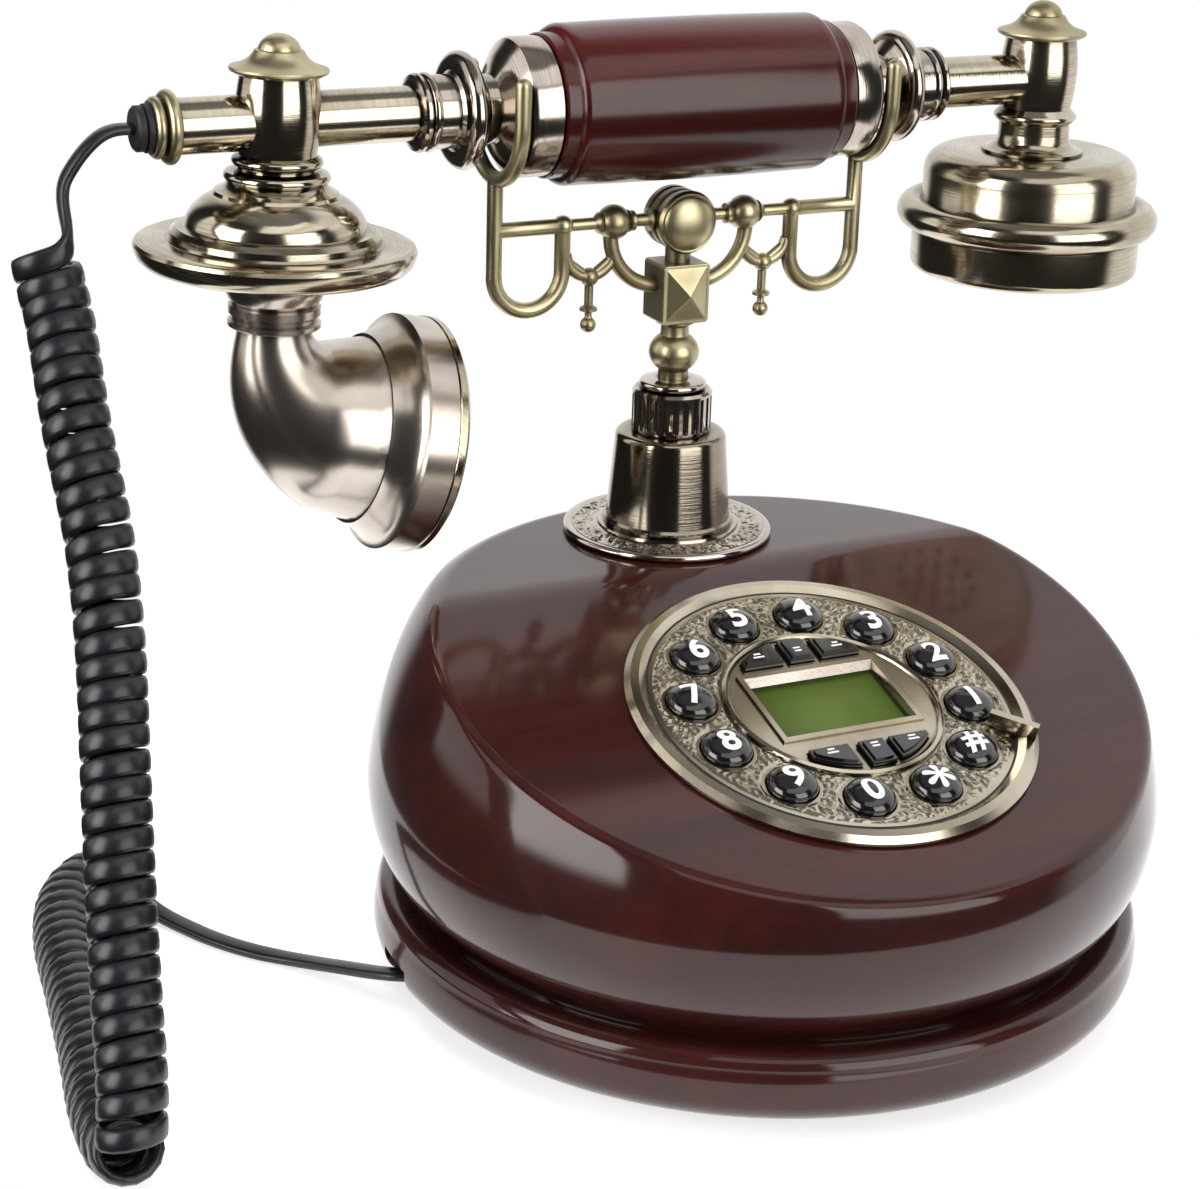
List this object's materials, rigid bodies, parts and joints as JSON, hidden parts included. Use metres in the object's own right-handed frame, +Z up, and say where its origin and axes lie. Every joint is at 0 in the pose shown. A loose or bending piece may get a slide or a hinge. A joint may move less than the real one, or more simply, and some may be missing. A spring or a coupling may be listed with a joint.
{
  "type": "cradle telephone",
  "caption": "Antique-style cradle telephone: round wooden body with a push-button dial plate, brass column and fork cradle, horn-mouthpiece handset and coiled cord.",
  "frame": {"origin": "centre of the wooden body at table height, midway along the handset", "axes": "+Z up; +Y towards the back, where the column stands; +X towards the earpiece end of the handset"},
  "size_m": [0.2904, 0.1752, 0.2054],
  "materials": {
    "dark_wood": "dark red-brown wood under a thick gloss varnish",
    "antique_brass": "brass with a brown antique patina, polished on the high spots",
    "antique_bronze": "dark bronze-plated metal with a soft polish",
    "black_rubber": "black flexible vinyl",
    "key_black": "glossy black key caps with white printed marks",
    "black_plate": "black painted sheet steel",
    "steel": "plain zinc-plated steel",
    "black_plastic": "plain black moulding",
    "window": "clear display window",
    "olive_display": "dark olive-green liquid crystal panel",
    "grey_silicone": "grey silicone key mat",
    "board_green": "green circuit board",
    "ballast_iron": "rough cast-iron block",
    "clear_plug": "clear modular plug"
  },
  "bodies": {
    "base": {"upper_body": "dark_wood", "plinth": "dark_wood", "bottom_plate": "black_plate", "rubber_feet": "black_rubber", "bottom_screws": "steel", "dial_plate": "antique_brass", "display_window": "window", "display_module": "olive_display", "keypad_mat": "grey_silicone", "circuit_boards": "board_green", "ringer": "black_plastic", "ballast_weight": "ballast_iron", "column_flange": "antique_brass", "column_cone": "antique_brass", "fluted_collar": "antique_brass", "hook_switch": "steel", "return_spring": "steel", "jacks": "black_plastic", "cord_leads": "black_rubber", "cord_coil": "black_rubber", "handset_plug": "clear_plug"},
    "cradle": {"cradle_fork": "antique_brass", "cradle_medallion": "antique_brass", "cradle_block": "antique_brass", "cradle_stem": "antique_brass"},
    "handset": {"grip": "dark_wood", "grip_ferrules": "antique_bronze", "neck_rings": "antique_bronze", "tie_rod": "steel", "handset_tubes": "antique_bronze", "mouth_hub": "antique_bronze", "ear_hub": "antique_bronze", "hub_finials": "antique_brass", "cord_end_ring": "antique_brass", "cord_grommet": "black_rubber", "mouth_saucer": "antique_bronze", "mouth_elbow": "antique_bronze", "mouth_cap": "antique_bronze", "microphone": "black_plastic", "receiver_cup": "antique_bronze", "ear_cap": "antique_bronze", "ear_speaker": "black_plastic"},
    "key_1_body": {"key_1": "key_black"},
    "key_2_body": {"key_2": "key_black"},
    "key_3_body": {"key_3": "key_black"},
    "key_4_body": {"key_4": "key_black"},
    "key_5_body": {"key_5": "key_black"},
    "key_6_body": {"key_6": "key_black"},
    "key_7_body": {"key_7": "key_black"},
    "key_8_body": {"key_8": "key_black"},
    "key_9_body": {"key_9": "key_black"},
    "key_0_body": {"key_0": "key_black"},
    "key_star_body": {"key_star": "key_black"},
    "key_hash_body": {"key_hash": "key_black"},
    "function_key_1_body": {"function_key_1": "key_black"},
    "function_key_2_body": {"function_key_2": "key_black"},
    "function_key_3_body": {"function_key_3": "key_black"},
    "function_key_4_body": {"function_key_4": "key_black"},
    "function_key_5_body": {"function_key_5": "key_black"},
    "function_key_6_body": {"function_key_6": "key_black"}
  },
  "joints": [
    {"name": "handset_lift", "type": "slide", "parent": "base", "child": "handset", "axis": [0, 0, 1], "range_m": [0, 0.08]},
    {"name": "cradle_rise", "type": "slide", "parent": "base", "child": "cradle", "axis": [0, 0, 1], "range_m": [0, 0.004], "deforming": ["return_spring"]},
    {"name": "key_1_press", "type": "slide", "parent": "base", "child": "key_1_body", "axis": [0, 0.279, -0.9603], "range_m": [0, 0.0015], "stiffness_N_per_m": 300},
    {"name": "key_2_press", "type": "slide", "parent": "base", "child": "key_2_body", "axis": [0, 0.279, -0.9603], "range_m": [0, 0.0015], "stiffness_N_per_m": 300},
    {"name": "key_3_press", "type": "slide", "parent": "base", "child": "key_3_body", "axis": [0, 0.279, -0.9603], "range_m": [0, 0.0015], "stiffness_N_per_m": 300},
    {"name": "key_4_press", "type": "slide", "parent": "base", "child": "key_4_body", "axis": [0, 0.279, -0.9603], "range_m": [0, 0.0015], "stiffness_N_per_m": 300},
    {"name": "key_5_press", "type": "slide", "parent": "base", "child": "key_5_body", "axis": [0, 0.279, -0.9603], "range_m": [0, 0.0015], "stiffness_N_per_m": 300},
    {"name": "key_6_press", "type": "slide", "parent": "base", "child": "key_6_body", "axis": [0, 0.279, -0.9603], "range_m": [0, 0.0015], "stiffness_N_per_m": 300},
    {"name": "key_7_press", "type": "slide", "parent": "base", "child": "key_7_body", "axis": [0, 0.279, -0.9603], "range_m": [0, 0.0015], "stiffness_N_per_m": 300},
    {"name": "key_8_press", "type": "slide", "parent": "base", "child": "key_8_body", "axis": [0, 0.279, -0.9603], "range_m": [0, 0.0015], "stiffness_N_per_m": 300},
    {"name": "key_9_press", "type": "slide", "parent": "base", "child": "key_9_body", "axis": [0, 0.279, -0.9603], "range_m": [0, 0.0015], "stiffness_N_per_m": 300},
    {"name": "key_0_press", "type": "slide", "parent": "base", "child": "key_0_body", "axis": [0, 0.279, -0.9603], "range_m": [0, 0.0015], "stiffness_N_per_m": 300},
    {"name": "key_star_press", "type": "slide", "parent": "base", "child": "key_star_body", "axis": [0, 0.279, -0.9603], "range_m": [0, 0.0015], "stiffness_N_per_m": 300},
    {"name": "key_hash_press", "type": "slide", "parent": "base", "child": "key_hash_body", "axis": [0, 0.279, -0.9603], "range_m": [0, 0.0015], "stiffness_N_per_m": 300},
    {"name": "function_key_1_press", "type": "slide", "parent": "base", "child": "function_key_1_body", "axis": [0, 0.279, -0.9603], "range_m": [0, 0.0015], "stiffness_N_per_m": 300},
    {"name": "function_key_2_press", "type": "slide", "parent": "base", "child": "function_key_2_body", "axis": [0, 0.279, -0.9603], "range_m": [0, 0.0015], "stiffness_N_per_m": 300},
    {"name": "function_key_3_press", "type": "slide", "parent": "base", "child": "function_key_3_body", "axis": [0, 0.279, -0.9603], "range_m": [0, 0.0015], "stiffness_N_per_m": 300},
    {"name": "function_key_4_press", "type": "slide", "parent": "base", "child": "function_key_4_body", "axis": [0, 0.279, -0.9603], "range_m": [0, 0.0015], "stiffness_N_per_m": 300},
    {"name": "function_key_5_press", "type": "slide", "parent": "base", "child": "function_key_5_body", "axis": [0, 0.279, -0.9603], "range_m": [0, 0.0015], "stiffness_N_per_m": 300},
    {"name": "function_key_6_press", "type": "slide", "parent": "base", "child": "function_key_6_body", "axis": [0, 0.279, -0.9603], "range_m": [0, 0.0015], "stiffness_N_per_m": 300}
  ],
  "couplings": [
    {"joint": "cradle_rise", "follows": "handset_lift", "ratio": 0.05}
  ]
}
